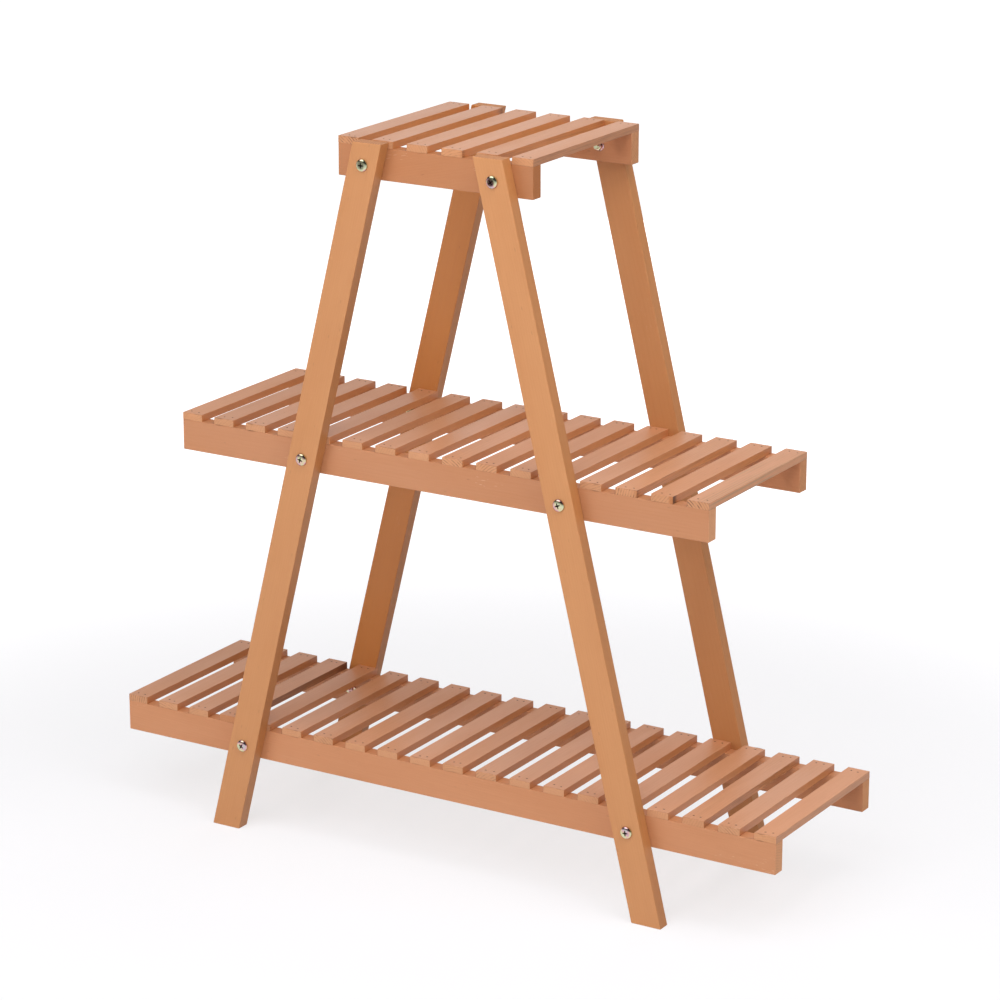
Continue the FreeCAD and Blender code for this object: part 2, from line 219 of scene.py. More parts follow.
def makeStainGroup():
    # Stained wood: the base colour, times the board's own tone and the painted shade on some of its faces,
    # darkened along rings, fibres and specks, darker and more open on end faces, greyer where the board is
    # grimy, near black as painted shade in brad pits. Height follows rings and fibres.
    look = markLook
    tree, given, made = newGroup(
        "stainedWood",
        {
            "Grain": "Vector", "Inset": "Vector", "Tone": "Vector", "Marks": "Vector",
            "Base": "Color", "ringColour": "Color", "endColour": "Color", "grimeColour": "Color",
            "ringSpacing": "Float", "ringWarp": "Float", "ringShow": "Float", "fibreShow": "Float",
            "patchShow": "Float", "speckShow": "Float", "streakShow": "Float", "arrisBand": "Float",
            "arrisShow": "Float", "scuffShow": "Float", "roughBase": "Float",
        },
        {"Color": "Color", "Roughness": "Float", "Height": "Float"},
    )
    grain = placeGroup(
        tree, grainGroup, Grain=given["Grain"], ringSpacing=given["ringSpacing"], ringWarp=given["ringWarp"]
    )
    wear = placeGroup(
        tree, arrisGroup, Grain=given["Grain"], Inset=given["Inset"], bandWidth=given["arrisBand"]
    )
    value, warmth, polish = parts(tree, given["Tone"])
    endShow, grime, pit = parts(tree, given["Marks"])
    long = calc(tree, "SUBTRACT", 1.0, wear["endFace"])

    # the board's own tone, with painted shade on some faces: value scales all three, warmth trades blue
    # against red
    brighter = calc(tree, "ADD", 1.0, value)
    tint = addNode(tree, "ShaderNodeCombineColor")
    feed(tree, tint.inputs[0], calc(tree, "MULTIPLY_ADD", warmth, look["warmRed"], brighter))
    feed(tree, tint.inputs[1], brighter)
    feed(tree, tint.inputs[2], calc(tree, "MULTIPLY_ADD", warmth, look["warmBlue"], brighter))
    colour = mixColour(tree, 1.0, given["Base"], tint.outputs[0], "MULTIPLY")

    # broad patches, then rings and fibres on the long faces; grey streaks follow the rings of boards whose
    # end grain shows strongly
    patch = smoothStep(tree, grain["Patches"], *look["patchStep"])
    patch = calc(tree, "MULTIPLY", patch, given["patchShow"])
    colour = mixColour(tree, patch, colour, given["ringColour"])
    ringLong = calc(tree, "MULTIPLY", calc(tree, "MULTIPLY", grain["Rings"], given["ringShow"]), long)
    colour = mixColour(tree, ringLong, colour, given["ringColour"])
    streaky = smoothStep(tree, grain["Patches"], *look["streakStep"])
    streaky = calc(tree, "MULTIPLY", streaky, given["streakShow"])
    streaky = calc(tree, "MULTIPLY", streaky, calc(tree, "POWER", endShow, look["streakPower"]))
    streaky = calc(tree, "MULTIPLY", calc(tree, "MULTIPLY", grain["Rings"], streaky), long)
    colour = mixColour(tree, streaky, colour, look["streakColour"])
    fibre = calc(tree, "MULTIPLY_ADD", grain["Fine"], 0.5, grain["Fibres"])
    fibre = calc(tree, "MULTIPLY", smoothStep(tree, fibre, *look["fibreStep"]), given["fibreShow"])
    colour = mixColour(tree, fibre, colour, given["ringColour"])
    speck = calc(tree, "MULTIPLY", grain["Specks"], given["speckShow"])
    colour = mixColour(tree, speck, colour, given["grimeColour"])

    # short pale scuffs in a few places
    scuff = noiseOf(tree, stretched(tree, given["Grain"], look["scuffs"]), 1)
    where = noiseOf(tree, stretched(tree, given["Grain"], look["scuffPlaces"]), 1)
    scuff = smoothStep(tree, scuff, *look["scuffStep"])
    scuff = calc(tree, "MULTIPLY", scuff, smoothStep(tree, where, *look["scuffPlaceStep"]))
    scuff = calc(tree, "MULTIPLY", scuff, given["scuffShow"])
    colour = mixColour(tree, scuff, colour, look["scuffColour"])

    # end faces: the same rings, open and dark where the stain has soaked in
    soaked = noiseOf(tree, stretched(tree, given["Grain"], look["soaking"]), 2)
    soaked = calc(tree, "MULTIPLY", smoothStep(tree, soaked, *look["soakStep"], 0.25, 1.0), endShow)
    ends = mixColour(tree, 1.0, given["endColour"], tint.outputs[0], "MULTIPLY")
    ends = mixColour(tree, calc(tree, "MULTIPLY", grain["Rings"], soaked), ends, given["grimeColour"])
    furred = calc(tree, "MULTIPLY", smoothStep(tree, fibre, *look["endFibreStep"]), 0.5)
    ends = mixColour(tree, furred, ends, given["ringColour"])
    soiled = calc(tree, "MULTIPLY", smoothStep(tree, grime, *look["endGrimeStep"]), 0.8)
    ends = mixColour(tree, soiled, ends, given["ringColour"])
    colour = mixColour(tree, wear["endFace"], colour, ends)

    # grime drawn along the narrow faces, and worn arrises
    streak = noiseOf(tree, stretched(tree, given["Grain"], look["grime"]), 3, 0.65)
    streak = calc(tree, "MULTIPLY_ADD", grime, 0.4, streak)
    dirty = smoothStep(tree, streak, *look["grimeStep"])
    dirty = calc(tree, "MULTIPLY", dirty, calc(tree, "MULTIPLY", grime, long))
    dirty = calc(tree, "MULTIPLY", dirty, calc(tree, "MULTIPLY_ADD", wear["sawnFace"], 0.85, 0.15))
    colour = mixColour(tree, dirty, colour, given["grimeColour"])
    dark = calc(tree, "MULTIPLY", wear["Dark"], given["arrisShow"])
    colour = mixColour(tree, dark, colour, given["grimeColour"])
    pale = calc(tree, "MULTIPLY", wear["Pale"], calc(tree, "MULTIPLY", given["arrisShow"], 0.6))
    colour = mixColour(tree, pale, colour, look["paleColour"])
    # painted shade in brad pits and round their rims, with crushed dark fibres
    colour = mixColour(tree, calc(tree, "MULTIPLY", pit, 0.9), colour, look["pitShadeColour"])
    feed(tree, made["Color"], colour)

    rough = smoothStep(tree, grain["Patches"], *look["roughStep"])
    rough = calc(tree, "MULTIPLY_ADD", rough, 0.08, given["roughBase"])
    rough = calc(tree, "SUBTRACT", rough, polish)
    rough = calc(tree, "MULTIPLY_ADD", wear["endFace"], 0.25, rough)
    rough = calc(tree, "MULTIPLY_ADD", wear["Band"], 0.08, rough)
    feed(tree, made["Roughness"], rough)

    relief = calc(tree, "MULTIPLY_ADD", grain["Fine"], 0.35, calc(tree, "MULTIPLY", grain["Fibres"], 0.6))
    relief = calc(tree, "MULTIPLY_ADD", grain["Rings"], -0.35, relief)
    relief = calc(tree, "MULTIPLY_ADD", grain["Specks"], -0.6, relief)
    feed(tree, made["Height"], relief)
    return tree


stainGroup = makeStainGroup()


def woodMaterial(name, look):
    material = bpy.data.materials.new(name)
    material.use_nodes = True
    tree = material.node_tree
    shader = tree.nodes["Principled BSDF"]
    carried = {}
    for label in ("Grain", "Inset", "Tone", "Marks"):
        reader = addNode(tree, "ShaderNodeAttribute", attribute_name=label.lower())
        carried[label] = reader.outputs["Vector"]
    wood = placeGroup(tree, stainGroup, **carried, **look["stain"])
    feed(tree, shader.inputs["Base Color"], wood["Color"])
    feed(tree, shader.inputs["Roughness"], wood["Roughness"])
    bump = addNode(tree, "ShaderNodeBump")
    feed(tree, bump.inputs["Height"], wood["Height"])
    bump.inputs["Strength"].default_value = look["bumpStrength"]
    bump.inputs["Distance"].default_value = look["bumpDepth"]
    feed(tree, shader.inputs["Normal"], bump.outputs["Normal"])
    return material


stain = {
    "Base": (0.575, 0.26, 0.103, 1), "ringColour": (0.42, 0.145, 0.046, 1),
    "endColour": (0.56, 0.26, 0.125, 1), "grimeColour": (0.14, 0.062, 0.034, 1),
    "ringSpacing": 0.0034, "ringWarp": 0.004, "ringShow": 0.07, "fibreShow": 0.11, "patchShow": 0.13,
    "speckShow": 0.2, "streakShow": 0.0, "arrisBand": 0.0006, "arrisShow": 0.22,
    "scuffShow": 0.08, "roughBase": 0.44,
}
woodLooks = {
    "leg_wood": {"stain": stain, "bumpStrength": 0.3, "bumpDepth": 0.0004},
    "rail_wood": {
        "stain": {
            **stain, "Base": (0.555, 0.24, 0.112, 1), "fibreShow": 0.15, "patchShow": 0.17,
            "scuffShow": 0.3,
        },
        "bumpStrength": 0.35, "bumpDepth": 0.0004,
    },
    "slat_wood": {
        "stain": {
            **stain, "Base": (0.59, 0.265, 0.131, 1), "fibreShow": 0.14, "streakShow": 0.75,
            "arrisShow": 0.26, "roughBase": 0.35,
        },
        "bumpStrength": 0.28, "bumpDepth": 0.0004,
    },
}
woodMaterials = {}
for slotName, look in woodLooks.items():
    woodMaterials[slotName] = woodMaterial(slotName.replace("_w", "W"), look)
print("wood:", len(woodMaterials), "materials")


sharpAngle = math.radians(35)
rippleWaves = 7


def buildMesh(name, points, faceSets, material, replaced=()):
    mesh = bpy.data.meshes.new(name)
    corners = np.concatenate([faces.ravel() for faces in faceSets])
    sizes = np.concatenate([np.full(len(faces), faces.shape[1]) for faces in faceSets])
    mesh.vertices.add(len(points))
    mesh.vertices.foreach_set("co", points.astype(np.float32).ravel())
    mesh.loops.add(len(corners))
    mesh.loops.foreach_set("vertex_index", corners.astype(np.int32))
    mesh.polygons.add(len(sizes))
    mesh.polygons.foreach_set("loop_start", (np.cumsum(sizes) - sizes).astype(np.int32))
    mesh.update(calc_edges=True)
    mesh.polygons.foreach_set("use_smooth", np.ones(len(sizes), bool))
    mesh.set_sharp_from_angle(angle=sharpAngle)
    mesh.materials.append(material)
    piece = bpy.data.objects.new(name, mesh)
    bpy.context.scene.collection.objects.link(piece)
    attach(piece, "root")
    if replaced:
        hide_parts(*replaced)
    return piece


def carry(piece, name, values):  # a vector for each vertex
    attribute = piece.data.attributes.new(name, "FLOAT_VECTOR", "POINT")
    attribute.data.foreach_set("vector", np.asarray(values, np.float32).ravel())


def gridQuads(sheet):
    # Faces of a sheet of vertex numbers: each cell's four corners, first along the first axis.
    return np.stack([sheet[:-1, :-1], sheet[1:, :-1], sheet[1:, 1:], sheet[:-1, 1:]], -1)


def ripple(positions, waves, rng):
    # A wandering line: a sum of sines, shorter waves lower, at random starts, brought to about -1 to 1.
    lengths = np.geomspace(waves[0], waves[1], rippleWaves)
    starts = rng.uniform(0, 2 * np.pi, rippleWaves)
    swing = np.sqrt(lengths / lengths.max())
    total = (np.sin(positions[..., None] * 2 * np.pi / lengths + starts) * swing).sum(-1)
    return total / swing.sum() * 1.8


def boardLines(half, arris, steps, spacing, extra):
    # Lattice lines along one axis: where each lies, and its share of the arris, 0 on the flat.
    # The arris lines are tangents of even angles up to 45 degrees.
    shares = np.tan(np.linspace(0, np.pi / 4, steps + 1))
    shares[0] = 1e-6
    edge = half - 2.2 * arris  # clear of the largest arris
    extra = np.sort(np.asarray(extra, float))
    flat = np.linspace(-edge, edge, max(2, int(round(2 * edge / spacing)) + 1))
    if len(extra):
        # an even line gives way to an extra one close by
        clear = np.abs(flat[:, None] - extra[None, :]).min(1) > 0.35 * spacing
        clear[[0, -1]] = True
        flat = np.sort(np.concatenate([flat[clear], extra]))
    places = np.concatenate([np.full(steps + 1, -half), flat, np.full(steps + 1, half)])
    return places, np.concatenate([-shares[::-1], np.zeros(len(flat)), shares])


boreCells = 5  # lattice cells along each side of the square that is left out round a bore


def extraLines(look, bores, pits):
    # Lines that the lattice has beside its even ones: over the square round a bore, or over a pit's rim.
    if pits:
        outer = 1 + pits["stain"] / pits["half"][0]
        rim = np.array([-outer, -1, -0.9, 0.9, 1, outer])
        across = np.concatenate([spot + rim * pits["half"][0] for spot in pits["across"]])
        along = np.concatenate([spot + rim * pits["half"][1] for spot in pits["along"]])
        return across, along
    spread = np.linspace(-1, 1, boreCells + 1) * look["borePatch"]
    across, along = np.array(bores).T
    return np.unique(np.round(across[:, None] + spread, 7)), (along[:, None] + spread).ravel()


def unevenArris(look, place, halfAlong, rng):
    # The size of the arris at each point. Each of the four long edges wanders by itself and has chips, each
    # a bite that falls off as a bell curve.
    arris = look["arris"]
    quadrant = (place[:, 0] > 0) * 2 + (place[:, 2] > 0)
    along = place[:, 1]
    size = np.zeros(len(place))
    for edge in range(4):
        mine = arris * (1 + look["ragged"] * ripple(along, look["waves"], rng))
        chips = rng.uniform(-halfAlong, halfAlong, look["chips"])
        depth = rng.uniform(0.3, 1, look["chips"]) * look["chipDepth"]
        width = rng.uniform(0.5, 1.6, look["chips"]) * look["chipWidth"]
        bite = (depth * np.exp(-(((along[:, None] - chips) / width) ** 2))).max(1)
        upper = edge % 2 == 1
        mine = np.clip(mine + bite, 0.3 * arris, 2.1 * arris) * (1 if upper else look["lowerArris"])
        size = np.where(quadrant == edge, mine, size)
    return size


def sinkPits(local, place, onTop, onFlat, halves, pits):
    # Lowers the points inside each pit and returns how dark each point is: painted shade in the pit and
    # round its rim, with crushed dark fibres. Each end's pair of pits then drifts a little from the lattice
    # lines, less and less towards the long edges.
    halfAcross, halfAlong = halves[:2]
    dark = np.zeros(len(place))
    for spotAcross in pits["across"]:
        for spotAlong in pits["along"]:
            away = np.maximum(np.abs(place[:, 0] - spotAcross) / pits["half"][0],
                              np.abs(place[:, 1] - spotAlong) / pits["half"][1])
            inside = onTop & (away < 0.95)
            local[inside, 2] -= pits["depth"]
            dark[onTop & (away < 1.05)] = 0.75
            dark[inside] = 1
    room = 1 - (local[:, 0] / halfAcross) ** 2
    ends = 0.7 * halfAlong
    drift = np.interp(local[:, 1], (-ends, ends), pits["drift"])
    ends = 0.8 * halfAlong
    skew = np.interp(local[:, 1], (-halfAlong, -ends, ends, halfAlong), np.repeat(pits["skew"], 2))
    local[:, 1] += skew * local[:, 0] * room * onFlat
    local[:, 0] += drift * room
    return dark


def skinFaces(number, corners):
    # Cells of the six outer sheets, less the squares round bores on the two broad faces.
    faceSets = []
    for axis, sheets in enumerate((number, number.transpose(1, 2, 0), number.transpose(2, 0, 1))):
        for end in (0, -1):
            cells = gridQuads(sheets[end])
            keep = np.ones(cells.shape[:2], bool)
            if axis == 2:
                for i, j in corners:
                    keep[i:i + boreCells, j:j + boreCells] = False
            cells = cells[keep]
            faceSets.append(cells if end else cells[:, ::-1])
    return faceSets


def openBore(world, number, corner, middle, radius, total):
    # The square left out on both faces is closed to a circle, and the two circles to a tunnel.
    i, j = corner
    m, n = i + boreCells, j + boreCells
    rings = []
    faceSets = []
    circles = []
    for end in (-1, 0):
        layer = number[:, :, end]
        loop = np.concatenate([layer[i:m, j], layer[m, j:n], layer[m:i:-1, n], layer[i, n:j:-1]])
        away = (world[loop] - middle) * (1, 0, 1)
        away /= np.linalg.norm(away, axis=1, keepdims=True)
        ring = middle + away * radius
        ring[:, 1] = world[loop][:, 1]
        circle = total + np.arange(len(loop))
        total += len(loop)
        rings.append(ring)
        quads = np.stack([loop, np.roll(loop, -1), np.roll(circle, -1), circle], 1)
        faceSets.append(quads if end else quads[:, ::-1])
        circles.append(circle)
    upper, lower = circles
    faceSets.append(np.stack([upper, np.roll(upper, -1), np.roll(lower, -1), lower], 1))
    return rings, faceSets, total


def makeBoard(name, centre, axes, halves, look, slot, finish, rng, bores=(), pits=None):
    # A board is the skin of a lattice. Each point lies on the box shrunk by the arris, plus the arris along
    # its own direction, so edges and corners are round.
    acrossExtra, alongExtra = extraLines(look, bores, pits)
    extras = (acrossExtra, alongExtra, ())
    lines = [boardLines(half, look["arris"], look["steps"], spacing, extra)
             for half, spacing, extra in zip(halves, look["spacing"], extras)]
    shape = tuple(len(places) for places, shares in lines)
    skin = np.zeros(shape, bool)
    skin[[0, -1]] = skin[:, [0, -1]] = skin[:, :, [0, -1]] = True
    number = np.full(shape, -1)
    number[skin] = np.arange(skin.sum())
    index = np.argwhere(skin)
    place = np.stack([lines[axis][0][index[:, axis]] for axis in range(3)], 1)
    share = np.stack([lines[axis][1][index[:, axis]] for axis in range(3)], 1)

    size = unevenArris(look, place, halves[1], rng)
    core = np.where(share != 0, np.sign(share) * (np.array(halves) - size[:, None]), place)
    core = np.clip(core, size[:, None] - np.array(halves), np.array(halves) - size[:, None])
    local = core + size[:, None] * share / np.linalg.norm(share, axis=1, keepdims=True)
    pitDark = np.zeros(len(place))
    if pits:
        onTop = index[:, 2] == shape[2] - 1
        pitDark = sinkPits(local, place, onTop, share[:, 1] == 0, halves, pits)

    corners = []
    for spot in bores:
        edges = [middle - look["borePatch"] - 1e-5 for middle in spot]
        corners.append([np.searchsorted(lines[axis][0], edge) for axis, edge in enumerate(edges)])
    faceSets = skinFaces(number, corners)
    world = centre + local @ axes
    points = [world]
    total = len(world)
    for spot, corner in zip(bores, corners):
        middle = centre + np.array([*spot, 0]) @ axes
        rings, boreFaces, total = openBore(world, number, corner, middle, look["boreRadius"], total)
        points += rings
        faceSets += boreFaces
    if bores:
        world = np.concatenate(points)
        local = (world - centre) @ np.linalg.inv(axes)
        pitDark = np.concatenate([pitDark, np.zeros(total - len(pitDark))])
    piece = buildMesh(f"{name}_board", world, faceSets, woodMaterials[slot], (name,))
    markBoard(piece, local, halves, look, finish, pitDark, rng)


def markBoard(piece, local, halves, look, finish, pitDark, rng):
    # What the stain reads: place in the tree, inset from the three pairs of faces, tone with painted shade
    # on chosen faces, and marks with painted shade in the pits.
    distance = rng.uniform(*look["pith"])
    angle = math.radians(90 - finish["pithAngle"])
    tilt = rng.normal(0, 0.012, 2) + (finish.get("slope", 0), 0)
    shift = rng.uniform(0, 30)
    fromPith = np.stack([
        distance * math.cos(angle) + tilt[0] * local[:, 1], np.full(len(local), shift),
        distance * math.sin(angle) + tilt[1] * local[:, 1],
    ], 1)
    carry(piece, "grain", local + fromPith)
    carry(piece, "inset", np.maximum(np.array(halves) - np.abs(local), 0))
    tone = np.tile(finish["tone"], (len(local), 1))
    # value and warmth added near chosen faces: painted shade on slat sides and rear legs' fronts, darker and
    # warmer leg sides, a tone of their own on rail ends
    for (axis, sign), shade in finish.get("faces", {}).items():
        inset = halves[axis] - sign * local[:, axis]
        tone[:, :2] += np.clip(1 - inset / (0.6 * look["arris"]), 0, 1)[:, None] * shade
    carry(piece, "tone", tone)
    grime = np.full(len(local), finish["grime"])
    for end, side, strength, reach in finish.get("smudges", ()):
        smudge = strength * np.exp(-(((halves[1] - end * local[:, 1]) / reach) ** 2))
        if side:
            # only on that side: full from 92 hundredths of the half width outwards
            smudge *= np.clip((side * local[:, 0] / halves[0] - 0.8) / 0.12, 0, 1)
        grime = np.maximum(grime, smudge)
    carry(piece, "marks", np.stack([np.full(len(local), finish["endShow"]), grime, pitDark], 1))


def boardTone(middles, look, rng):  # value, warmth and polish of one board, each a little off its middle
    return tuple(middle + rng.normal(0, spread) for middle, spread in zip(middles, look["toneSpread"]))


def boxOf(node):
    low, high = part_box(node)
    return np.array(low), np.array(high)


legLook = {
    "arris": 0.0008, "lowerArris": 1.0, "steps": 3, "spacing": (0.010, 0.009, 0.009), "ragged": 0.15,
    "waves": (0.03, 0.2), "chips": 8, "chipDepth": 0.0003, "chipWidth": 0.003, "borePatch": 0.0055,
    "boreRadius": 0.00325, "pith": (0.03, 0.09), "toneSpread": (0.012, 0.01, 0.02),
}
legToneAndShade = {  # value and warmth of the board, then painted shade on its front face: darker and warmer on the rear legs, under the shelves
    "leg_front_left": (-0.09, 0.02, 0.0, 0.0), "leg_front_right": (-0.03, 0.02, 0.0, 0.0),
    "leg_rear_left": (-0.07, 0.08, -0.22, 0.23), "leg_rear_right": (-0.04, 0.04, -0.13, 0.04),
}
legSides = (-0.12, 0.1)  # value and warmth that a leg's two sides have beside its front and back: darker and warmer
railHeights = {}
for shelf in shelfNames:
    railHeights[shelf] = float(sum(corner[2] for corner in boxOf(f"{shelf}_rail_front")) / 2)


def legLine(node):
    # Foot centre, crown centre and level width of a leg, from the lowest and highest points of its solid.
    points = np.array([vertex.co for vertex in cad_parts[node].data.vertices])
    low, high = points[:, 2].min(), points[:, 2].max()
    foot = points[points[:, 2] < low + 1e-5]
    crown = points[points[:, 2] > high - 1e-5]
    middles = [(end.min(0) + end.max(0)) / 2 for end in (foot, crown)]
    return middles[0], middles[1], np.ptp(foot[:, 0])


legLines = {}
rng = np.random.default_rng(11)
for faceName in faceSigns:
    for sideName in sideSigns:
        node = f"leg_{faceName}_{sideName}"
        foot, crown, levelWidth = legLine(node)
        legLines[faceName, sideName] = (foot, crown)
        low, high = boxOf(node)
        rise = crown - foot
        lean = rise[0] / rise[2]
        halfWidth = levelWidth / 2 / math.sqrt(1 + lean * lean)
        axes = np.array([[levelWidth / 2 / halfWidth, 0, 0], [lean, 0, 1], [0, -1, 0]])
        centre = (foot + crown) / 2
        halves = (halfWidth, rise[2] / 2, (high[1] - low[1]) / 2)
        bores = [(0, railHeights[shelf] - centre[2]) for shelf in shelfNames]
        value, warmth, frontShadeValue, frontShadeWarmth = legToneAndShade[node]
        finish = {
            "tone": boardTone((value, warmth, 0), legLook, rng),
            "pithAngle": rng.uniform(-90, 90), "endShow": 0.5, "grime": 0.12,
            "faces": {(0, -1): legSides, (0, 1): legSides, (2, 1): (frontShadeValue, frontShadeWarmth)},
        }
        makeBoard(node, centre, axes, halves, legLook, "leg_wood", finish, rng, bores)
print("legs:", len(legLines))


railLook = {
    **legLook, "arris": 0.0006, "spacing": (0.010, 0.011, 0.009), "chips": 6,
    "toneSpread": (0.01, 0.008, 0.02),
}
railFinish = {  # value, warmth, slope of the grain and how strongly the end grain shows
    "top_rail_front": (-0.23, 0.1, -0.22, 0.4), "middle_rail_front": (-0.08, 0.0, 0.0, 0.08),
    "bottom_rail_front": (0.0, -0.01, 0.02, 0.15), "top_rail_rear": (-0.05, 0.02, 0.0, 0.3),
    "middle_rail_rear": (-0.02, 0.0, 0.0, 0.35), "bottom_rail_rear": (-0.02, 0.0, 0.0, 0.2),
}
railEnds = {  # value and warmth that an end face has beside its board's
    ("top_rail_front", 1): (-0.2, 0.02), ("middle_rail_front", 1): (0.34, -0.1),
    ("bottom_rail_front", 1): (0.25, -0.05), ("middle_rail_rear", 1): (0.0, 0.06),
    ("bottom_rail_rear", 1): (0.08, 0.1),
}
railSmudges = {"top_rail_front": ((1, 0, 0.9, 0.02),), "bottom_rail_front": ((1, 0, 0.3, 0.006),)}


def boltSpot(faceName, shelf, sideName):
    # Where a leg's centre line crosses the middle of a rail.
    foot, crown = legLines[faceName, sideName]
    share = (railHeights[shelf] - foot[2]) / (crown[2] - foot[2])
    return foot + share * (crown - foot)


rng = np.random.default_rng(23)
for faceName in faceSigns:
    for shelf in shelfNames:
        node = f"{shelf}_rail_{faceName}"
        low, high = boxOf(node)
        centre = (low + high) / 2
        halves = tuple(((high - low) / 2)[[2, 0, 1]])
        axes = np.array([[0, 0, 1], [1, 0, 0], [0, 1, 0]])
        bores = [(0, boltSpot(faceName, shelf, sideName)[0] - centre[0]) for sideName in sideSigns]
        value, warmth, slope, endShow = railFinish[node]
        finish = {
            "tone": boardTone((value, warmth, 0), railLook, rng),
            "pithAngle": rng.uniform(-90, 90), "slope": slope, "endShow": endShow, "grime": 0.08,
            "smudges": railSmudges.get(node, ()),
            "faces": {(1, sign): railEnds.get((node, sign), (0.05, 0.0)) for sign in (-1, 1)},
        }
        makeBoard(node, centre, axes, halves, railLook, "rail_wood", finish, rng, bores)
print("rails:", 2 * len(shelfNames))


slatLook = {
    "arris": 0.00032, "lowerArris": 0.5, "steps": 2, "spacing": (0.007, 0.004, 0.003), "ragged": 0.06,
    "waves": (0.03, 0.12), "chips": 2, "chipDepth": 0.00015, "chipWidth": 0.002, "pith": (0.04, 0.10),
    "toneSpread": (0.022, 0.014, 0.03),
}
slatFinish = {  # value, warmth, polish and grime of each shelf's slats
    "top": (0.0, 0.02, 0.06, 0.06), "middle": (0.04, -0.05, -0.03, 0.1),
    "bottom": (0.04, -0.05, -0.01, 0.1),
}
slatSideShade = (-0.14, 0.24)  # painted shade: value and warmth added to a slat's sides beside its top, as shade and coloured bounce light fall between the slats
openSides = {  # value and warmth of the sides that end a shelf, in place of that painted shade
    ("top_slat_6", 1): (-0.2, 0.0), ("middle_slat_16", 1): (0.06, -0.03),
    ("bottom_slat_20", 1): (-0.08, 0.0),
}
grimySlats = {  # strength of the grime on single slats
    "middle_slat_14": 0.3, "middle_slat_15": 0.2, "bottom_slat_4": 0.65, "bottom_slat_18": 0.4,
    "top_slat_5": 0.3,
}
slatSmudges = {  # end and side of the slat, -1 or 1, then strength and reach along it
    "middle_slat_14": ((-1, 1, 0.7, 0.009),), "middle_slat_15": ((-1, 1, 1.4, 0.0085),),
    "top_slat_2": ((1, 1, 0.7, 0.014),), "top_slat_4": ((-1, 1, 0.6, 0.008),),
    "bottom_slat_4": ((1, 1, 0.9, 0.05),), "bottom_slat_5": ((-1, 1, 0.5, 0.006),),
    "top_slat_6": ((-1, 1, 0.35, 1.0),), "bottom_slat_20": ((-1, 1, 0.25, 1.0),),
}
openEnds = {  # angle of the pith from the board, in degrees, and how strongly the end grain shows
    "top_slat_1": (42, 0.65), "top_slat_4": (-20, 0.35), "middle_slat_9": (35, 0.6),
    "middle_slat_10": (-40, 0.4), "middle_slat_13": (-30, 0.3), "middle_slat_14": (-75, 0.8),
    "middle_slat_15": (-50, 0.35), "middle_slat_16": (48, 1.0), "bottom_slat_1": (-80, 0.6),
    "bottom_slat_2": (20, 0.35), "bottom_slat_7": (40, 0.45), "bottom_slat_12": (-35, 0.4),
    "bottom_slat_19": (42, 0.4),
}
brad = {
    "halfAcross": 0.00062, "halfAlong": 0.00052, "length": 0.025, "sunk": 0.0005, "point": 0.0022,
    "offsets": (-0.0056, 0.0051), "jitter": 0.0007, "endJitter": 0.0012, "drift": 0.0009, "skew": 0.12,
}
pitLook = {"half": (0.00095, 0.00085), "depth": brad["sunk"], "stain": 0.0005}
railLine = float(sum(corner[1] for corner in boxOf("top_rail_rear")) / 2)


def bradSolid(middles):
    # A brad: a rectangular wire, flat on top, with a chisel point, repeated at each middle.
    x, y = brad["halfAcross"], brad["halfAlong"]
    tip = -brad["length"]
    shape = np.array([
        (-x, -y, 0), (x, -y, 0), (x, y, 0), (-x, y, 0),
        (-x, -y, tip + brad["point"]), (x, -y, tip + brad["point"]), (x, y, tip + brad["point"]),
        (-x, y, tip + brad["point"]), (-x, 0, tip), (x, 0, tip),
    ])
    quads = np.array([
        (0, 1, 2, 3), (0, 4, 5, 1), (1, 5, 6, 2), (2, 6, 7, 3), (3, 7, 4, 0), (4, 8, 9, 5), (6, 9, 8, 7),
    ])
    ends = np.array([(5, 9, 6), (7, 8, 4)])
    points = (middles[:, None, :] + shape[None]).reshape(-1, 3)
    starts = np.arange(len(middles))[:, None, None] * len(shape)
    return points, [(starts + quads).reshape(-1, 4), (starts + ends).reshape(-1, 3)]


rng = np.random.default_rng(37)
bradMiddles = {}
for shelf in shelfNames:
    value, warmth, polish, grime = slatFinish[shelf]
    spots = []
    for node in slatNames[shelf]:
        low, high = boxOf(node)
        centre = (low + high) / 2
        halves = tuple((high - low) / 2)
        across = np.array(brad["offsets"]) + rng.normal(0, brad["jitter"], 2)
        along = np.array([-railLine, railLine]) + rng.normal(0, brad["endJitter"], 2)
        drift = rng.normal(0, brad["drift"], 2)
        skew = rng.normal(0, brad["skew"], 2)
        pits = {**pitLook, "across": across, "along": along, "drift": drift, "skew": skew}
        pithAngle, endShow = openEnds.get(node, (rng.uniform(-80, 80), rng.uniform(0.03, 0.2)))
        finish = {
            "tone": boardTone((value, warmth, polish), slatLook, rng), "pithAngle": pithAngle,
            "endShow": endShow, "smudges": slatSmudges.get(node, ()),
            "grime": grimySlats.get(node, grime * rng.uniform(0.3, 1.3)),
            "faces": {(0, sign): openSides.get((node, sign), slatSideShade) for sign in (-1, 1)},
        }
        makeBoard(node, centre, np.eye(3), halves, slatLook, "slat_wood", finish, rng, pits=pits)
        for place, moved, turn in zip(along, drift, skew):
            for spot in across:
                room = 1 - (spot / halves[0]) ** 2
                head = (spot + moved * room, place + turn * spot * room, halves[2] - brad["sunk"])
                spots.append(centre + head)
    bradMiddles[shelf] = np.array(spots)
print("slats:", sum(map(len, slatNames.values())), "with", sum(map(len, bradMiddles.values())), "brads")


plateLook = {  # turns of noise in a metre, and how far the fine noise roughens the plating
    "broad": (85, 85, 85), "fine": (2500, 2500, 2500), "tintStep": (0.3, 0.7), "roughens": 0.12,
    "bumpStrength": 0.1, "bumpDepth": 0.0001, "paintedDarkColour": (0.065, 0.028, 0.022, 1), "darkRoughens": 0.45,
}


